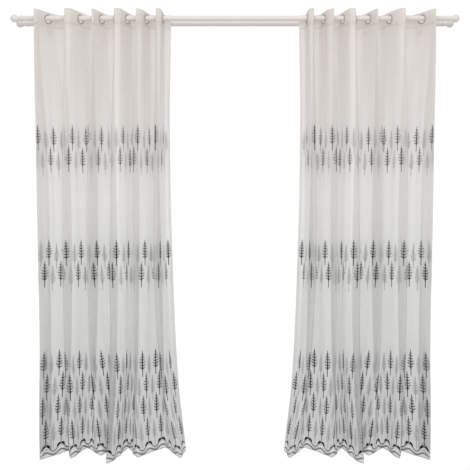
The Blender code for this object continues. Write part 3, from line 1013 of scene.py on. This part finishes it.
def hard_material(name, colour, metallic, roughness, grain_scale, coat):
    """Enamel or plated metal: fine grain, and roughness that varies with handling."""
    made, tree, output = new_material(name)
    where = add_node(tree, "ShaderNodeTexCoord").outputs["Object"]
    grain = noise(tree, where, detail=4.0, scale=grain_scale)
    handling = noise(tree, where, detail=3.0, scale=14.0)
    darker = tuple(part * HANDLED_SHADE for part in colour)
    smoothest, roughest = (roughness + change for change in HANDLED_ROUGHNESS)
    surface = add_node(
        tree,
        "ShaderNodeBsdfPrincipled",
        {
            "Base Color": blend_colours(tree, handling, darker, colour),
            "Metallic": metallic,
            "Roughness": spread_over(tree, handling, *HANDLED_RANGE, smoothest, roughest),
            "Coat Weight": coat,
            "Coat Roughness": 0.3,
            "Normal": bumped(tree, grain, strength=0.08, distance=0.0003),
        },
    )
    tree.links.new(surface.outputs[0], output.inputs[0])
    return made


def make_camera():
    """The photograph's camera: level, with a small shift for its framing."""
    data = bpy.data.cameras.new("camera")
    data.lens = CAMERA_LENS
    data.sensor_width = CAMERA_SENSOR
    data.shift_y = CAMERA_SHIFT_Y
    camera = linked("camera", data)
    camera.location = CAMERA_PLACE
    camera.rotation_euler = (math.pi / 2, 0.0, 0.0)
    bpy.context.scene.camera = camera


def studio_material():
    """White that glows, with a little plain paint below the curtains for a faint shadow."""
    made, tree, output = new_material("studio_white")
    where = add_node(tree, "ShaderNodeTexCoord").outputs["Object"]
    distance = add_node(tree, "ShaderNodeVectorMath", {0: where}, operation="LENGTH").outputs["Value"]
    share = spread_over(tree, distance, *STUDIO_FADE, STUDIO_GLOW_SHARE, 1.0)
    paint = add_node(tree, "ShaderNodeBsdfDiffuse", {"Color": (0.9, 0.9, 0.9, 1.0)}).outputs[0]
    white = add_node(tree, "ShaderNodeEmission", {"Color": (1.0, 1.0, 1.0, 1.0), "Strength": STUDIO_GLOW})
    mixed = add_node(tree, "ShaderNodeMixShader", {0: share, 1: paint, 2: white.outputs[0]})
    tree.links.new(mixed.outputs[0], output.inputs[0])
    return made


def make_studio():
    """A round floor that curves up into a wall and a dome, all one white shell."""
    profile = [(0.0, 0.0), (STUDIO_RADIUS - STUDIO_BEND, 0.0)]
    turns = [math.pi / 2 * step / STUDIO_BEND_STEPS for step in range(1, STUDIO_BEND_STEPS + 1)]
    for turn in turns:
        radius = STUDIO_RADIUS - STUDIO_BEND + STUDIO_BEND * math.sin(turn)
        profile.append((radius, STUDIO_BEND - STUDIO_BEND * math.cos(turn)))
    for turn in turns:
        profile.append((STUDIO_RADIUS * math.cos(turn), STUDIO_BEND + STUDIO_RADIUS * math.sin(turn)))
    studio = linked("studio", turned_mesh("studio", profile, STUDIO_SEGMENTS, closed=False))
    studio.location = (0.0, 0.0, FLOOR_Z)
    studio.data.materials.append(studio_material())
    studio.visible_diffuse = False
    studio.visible_glossy = False
    studio.visible_transmission = False
    studio.visible_shadow = False


def area_light(name, place, target, size, power, colour):
    """A soft square lamp that faces its target."""
    data = bpy.data.lights.new(name, "AREA")
    data.shape = "SQUARE"
    data.size = size
    data.energy = power
    data.color = colour
    lamp = linked(name, data)
    lamp.location = place
    lamp.rotation_euler = (Vector(target) - Vector(place)).to_track_quat("-Z", "Y").to_euler()
    lamp.visible_camera = False


def make_light():
    """Even daylight that is stronger from above, a soft key from the front and a glow from behind."""
    world = bpy.data.worlds.new("daylight")
    world.use_nodes = True
    tree = world.node_tree
    direction = add_node(tree, "ShaderNodeTexCoord").outputs["Generated"]
    height = add_node(tree, "ShaderNodeSeparateXYZ", {0: direction}).outputs[2]
    sky = tree.nodes["Background"]
    sky.inputs["Color"].default_value = (1.0, 0.99, 0.98, 1.0)
    tree.links.new(spread_over(tree, height, -1.0, 1.0, *SKY_STRENGTHS), sky.inputs["Strength"])
    bpy.context.scene.world = world
    middle = (0.0, -0.2, -1.0)
    area_light("key", (0.0, -3.8, 0.6), middle, size=2.6, power=46.0, colour=(1.0, 0.99, 0.98))
    area_light("glow", (0.0, 3.6, 0.2), middle, size=3.0, power=26.0, colour=(0.98, 0.99, 1.0))
    bpy.context.scene.view_settings.view_transform = "Standard"


def paint_node(name, material):
    """Gives a kept node of the part its material."""
    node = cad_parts[name]
    node.data.materials.clear()
    node.data.materials.append(material)


make_camera()
make_studio()
make_light()

# Colours of the voile by drop: they grow darker towards the hem as painted shade, for the less light that
# reaches the curtain low down
voile = cloth_material(
    "voile",
    (
        (0.30, ((0.845, 0.795, 0.777), (0.860, 0.838, 0.812))),
        (1.05, ((0.835, 0.830, 0.815), (0.865, 0.862, 0.850))),
        (2.05, ((0.700, 0.708, 0.706), (0.740, 0.748, 0.745))),
        (2.40, ((0.640, 0.648, 0.646), (0.680, 0.688, 0.686))),
    ),
    opacity=0.74,
    unevenness=0.20,
    translucency=0.40,
)
heading_cloth = cloth_material(
    "heading_cloth",
    ((0.00, ((0.955, 0.925, 0.905), (0.965, 0.950, 0.928))),),
    opacity=0.80,
    unevenness=0.10,
    translucency=0.70,
)
slate_thread = thread_material("slate_thread", (0.030, 0.032, 0.037), 0.0)
black_thread = thread_material("black_thread", (0.010, 0.011, 0.013), 0.0)
loose_thread = thread_material("loose_thread", (0.060, 0.062, 0.068), 0.0, cover=0.09)
pale_thread = thread_material("pale_thread", (0.50, 0.50, 0.51), 0.2)
grey_thread = thread_material("grey_thread", (0.28, 0.28, 0.285), 0.1)
white_thread = thread_material("white_thread", (0.95, 0.95, 0.95), 0.3)
seam_thread = thread_material("seam_thread", (0.90, 0.87, 0.83), 0.2)
taupe_metal = hard_material(
    "taupe_metal", (0.53, 0.47, 0.42), metallic=0.70, roughness=0.36, grain_scale=900.0, coat=0.0
)
cream_enamel = hard_material(
    "cream_enamel", (0.87, 0.83, 0.80), metallic=0.0, roughness=0.40, grain_scale=500.0, coat=0.25
)

cloth = Cloth()
for side_name, side in SIDES:
    places = ring_places(cloth, side)
    rings = make_rings(side_name, places, taupe_metal)
    heading = make_heading(side_name, side, cloth, places, heading_cloth)
    panel = make_panel(side_name, side, cloth, voile)
    trees = make_trees(side_name, side, cloth, slate_thread, pale_thread, loose_thread)
    border = make_border(side_name, side, cloth, black_thread, white_thread, grey_thread)
    seams = make_seams(side_name, side, cloth, seam_thread)
    for rod in ("front", "rear"):
        make_finial(rod, side_name, side, cream_enamel)
    make_plate_screws(side_name, cream_enamel)
    for node in (f"arm_{side_name}", f"wall_plate_{side_name}"):
        paint_node(node, cream_enamel)
for node in ("rod_front", "rod_rear"):
    paint_node(node, cream_enamel)
